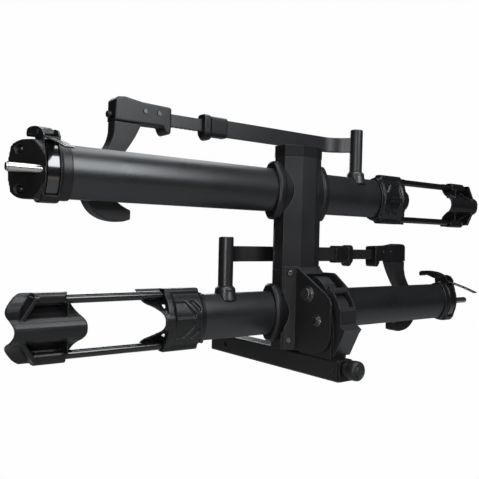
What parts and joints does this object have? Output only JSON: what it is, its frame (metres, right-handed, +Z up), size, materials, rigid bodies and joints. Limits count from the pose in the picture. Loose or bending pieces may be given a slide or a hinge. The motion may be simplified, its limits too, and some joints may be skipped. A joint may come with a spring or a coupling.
{
  "type": "hitch mounted bike rack",
  "caption": "Folding platform bike rack for a hitch receiver: square tube, pivot with release lever, upright spine, and tubular trays with wheel cradles, straps and swinging hook arms",
  "frame": {"origin": "centre of the hitch pin hole, on the hitch tube's axis", "axes": "+Y towards the vehicle along the hitch tube, +X along the trays to the right seen from behind the vehicle, +Z up"},
  "size_m": [1.483, 0.553, 0.6324],
  "materials": {
    "black_powder_coat": "satin powder coat with a fine grain",
    "black_plastic": "moulded, lightly textured",
    "gloss_strap": "smooth, glossy",
    "zinc_steel": "zinc plated",
    "chrome": "bright plated"
  },
  "bodies": {
    "hitch_frame": {"hitch_tube": "black_powder_coat", "tube_end_plug": "black_plastic", "plug_screws": "zinc_steel", "pivot_tower": "black_powder_coat", "fold_pivot_bolt": "zinc_steel", "lever_pin": "zinc_steel", "lever_spring": "zinc_steel"},
    "knob": {"tightening_knob": "black_plastic", "draw_rod": "zinc_steel"},
    "lock_core": {"knob_lock_core": "zinc_steel"},
    "expander_cone": {"wedge_cone": "zinc_steel"},
    "expander_shoe": {"lock_shoe": "zinc_steel"},
    "fold_release": {"release_lever": "black_powder_coat"},
    "folding_spine": {"spine": "black_powder_coat", "spine_cap": "black_plastic", "pivot_bracket": "black_powder_coat", "bracket_bolts": "zinc_steel", "lock_crosspin": "zinc_steel", "tray_top": "black_powder_coat", "collars_top": "black_plastic", "end_cap_top": "black_plastic", "tray_screws_top": "zinc_steel", "wheel_strap_top": "gloss_strap", "buckle_frame_top": "black_plastic", "buckle_pin_top": "zinc_steel", "inner_cradle_top": "black_plastic", "arm_base_top": "black_powder_coat", "tray_bottom": "black_powder_coat", "collars_bottom": "black_plastic", "end_cap_bottom": "black_plastic", "tray_screws_bottom": "zinc_steel", "wheel_strap_bottom": "gloss_strap", "buckle_frame_bottom": "black_plastic", "buckle_pin_bottom": "zinc_steel", "inner_cradle_bottom": "black_plastic", "arm_base_bottom": "black_powder_coat"},
    "cable_lock_pin_top": {"cable_lock_top": "chrome"},
    "strap_buckle_top": {"buckle_lever_top": "black_plastic"},
    "sliding_cradle_top": {"outer_cradle_top": "black_plastic", "cradle_rods_top": "black_powder_coat"},
    "wheel_arm_top": {"arm_post_top": "black_powder_coat", "arm_bar_top": "black_powder_coat", "arm_sleeve_top": "black_plastic"},
    "arm_extension_top": {"arm_slider_top": "black_powder_coat", "hook_head_top": "black_plastic", "tyre_hook_top": "black_plastic", "head_screws_top": "zinc_steel"},
    "hook_button_top": {"release_button_top": "black_plastic"},
    "cable_lock_pin_bottom": {"cable_lock_bottom": "chrome"},
    "strap_buckle_bottom": {"buckle_lever_bottom": "black_plastic"},
    "sliding_cradle_bottom": {"outer_cradle_bottom": "black_plastic", "cradle_rods_bottom": "black_powder_coat"},
    "wheel_arm_bottom": {"arm_post_bottom": "black_powder_coat", "arm_bar_bottom": "black_powder_coat", "arm_sleeve_bottom": "black_plastic"},
    "arm_extension_bottom": {"arm_slider_bottom": "black_powder_coat", "hook_head_bottom": "black_plastic", "tyre_hook_bottom": "black_plastic", "head_screws_bottom": "zinc_steel"},
    "hook_button_bottom": {"release_button_bottom": "black_plastic"}
  },
  "joints": [
    {"name": "fold", "type": "hinge", "parent": "hitch_frame", "child": "folding_spine", "pos_m": [0, -0.346, 0.173], "axis": [1, 0, 0], "range_deg": [0, 94]},
    {"name": "fold_release_pull", "type": "hinge", "parent": "hitch_frame", "child": "fold_release", "pos_m": [0, -0.407, 0.183], "axis": [-1, 0, 0], "range_deg": [0, 16.5], "stiffness_Nm_per_rad": 6, "springref_deg": -17.19},
    {"name": "knob_turn", "type": "hinge", "parent": "hitch_frame", "child": "knob", "pos_m": [0, -0.46, 0.006], "axis": [0, 1, 0], "range_deg": [0, 721]},
    {"name": "lock_core_turn", "type": "hinge", "parent": "knob", "child": "lock_core", "pos_m": [0, -0.47, 0.006], "axis": [0, 1, 0], "range_deg": [0, 90]},
    {"name": "cone_draw", "type": "slide", "parent": "hitch_frame", "child": "expander_cone", "axis": [0, -1, 0], "range_m": [0, 0.012]},
    {"name": "shoe_press", "type": "slide", "parent": "hitch_frame", "child": "expander_shoe", "axis": [0, 0, -1], "range_m": [0, 0.0019]},
    {"name": "cable_lock_pull_top", "type": "slide", "parent": "folding_spine", "child": "cable_lock_pin_top", "axis": [-1, 0, 0], "range_m": [0, 0.022]},
    {"name": "buckle_open_top", "type": "hinge", "parent": "folding_spine", "child": "strap_buckle_top", "pos_m": [-0.643, -0.248, 0.4945], "axis": [1, 0, 0], "range_deg": [0, 75]},
    {"name": "cradle_reach_top", "type": "slide", "parent": "folding_spine", "child": "sliding_cradle_top", "axis": [1, 0, 0], "range_m": [-0.034, 0.026]},
    {"name": "arm_swing_top", "type": "hinge", "parent": "folding_spine", "child": "wheel_arm_top", "pos_m": [0.217, -0.256, 0.543], "axis": [0, 0, -1], "range_deg": [0, 135]},
    {"name": "arm_reach_top", "type": "slide", "parent": "wheel_arm_top", "child": "arm_extension_top", "axis": [-1, 0, 0], "range_m": [-0.08, 0.1]},
    {"name": "hook_button_press_top", "type": "slide", "parent": "arm_extension_top", "child": "hook_button_top", "axis": [1, 0, 0], "range_m": [0, 0.006], "stiffness_N_per_m": 600, "springref_m": -0.006},
    {"name": "cable_lock_pull_bottom", "type": "slide", "parent": "folding_spine", "child": "cable_lock_pin_bottom", "axis": [1, 0, 0], "range_m": [0, 0.022]},
    {"name": "buckle_open_bottom", "type": "hinge", "parent": "folding_spine", "child": "strap_buckle_bottom", "pos_m": [0.643, -0.248, 0.193], "axis": [1, 0, 0], "range_deg": [0, 75]},
    {"name": "cradle_reach_bottom", "type": "slide", "parent": "folding_spine", "child": "sliding_cradle_bottom", "axis": [-1, 0, 0], "range_m": [0, 0.06]},
    {"name": "arm_swing_bottom", "type": "hinge", "parent": "folding_spine", "child": "wheel_arm_bottom", "pos_m": [-0.217, -0.256, 0.2415], "axis": [0, 0, 1], "range_deg": [0, 135]},
    {"name": "arm_reach_bottom", "type": "slide", "parent": "wheel_arm_bottom", "child": "arm_extension_bottom", "axis": [1, 0, 0], "range_m": [-0.08, 0.1]},
    {"name": "hook_button_press_bottom", "type": "slide", "parent": "arm_extension_bottom", "child": "hook_button_bottom", "axis": [-1, 0, 0], "range_m": [0, 0.006], "stiffness_N_per_m": 600, "springref_m": -0.006}
  ],
  "couplings": [
    {"joint": "knob_turn", "follows": "cone_draw", "rad_per_m": 1047.2},
    {"joint": "shoe_press", "follows": "cone_draw", "ratio": 0.15}
  ]
}
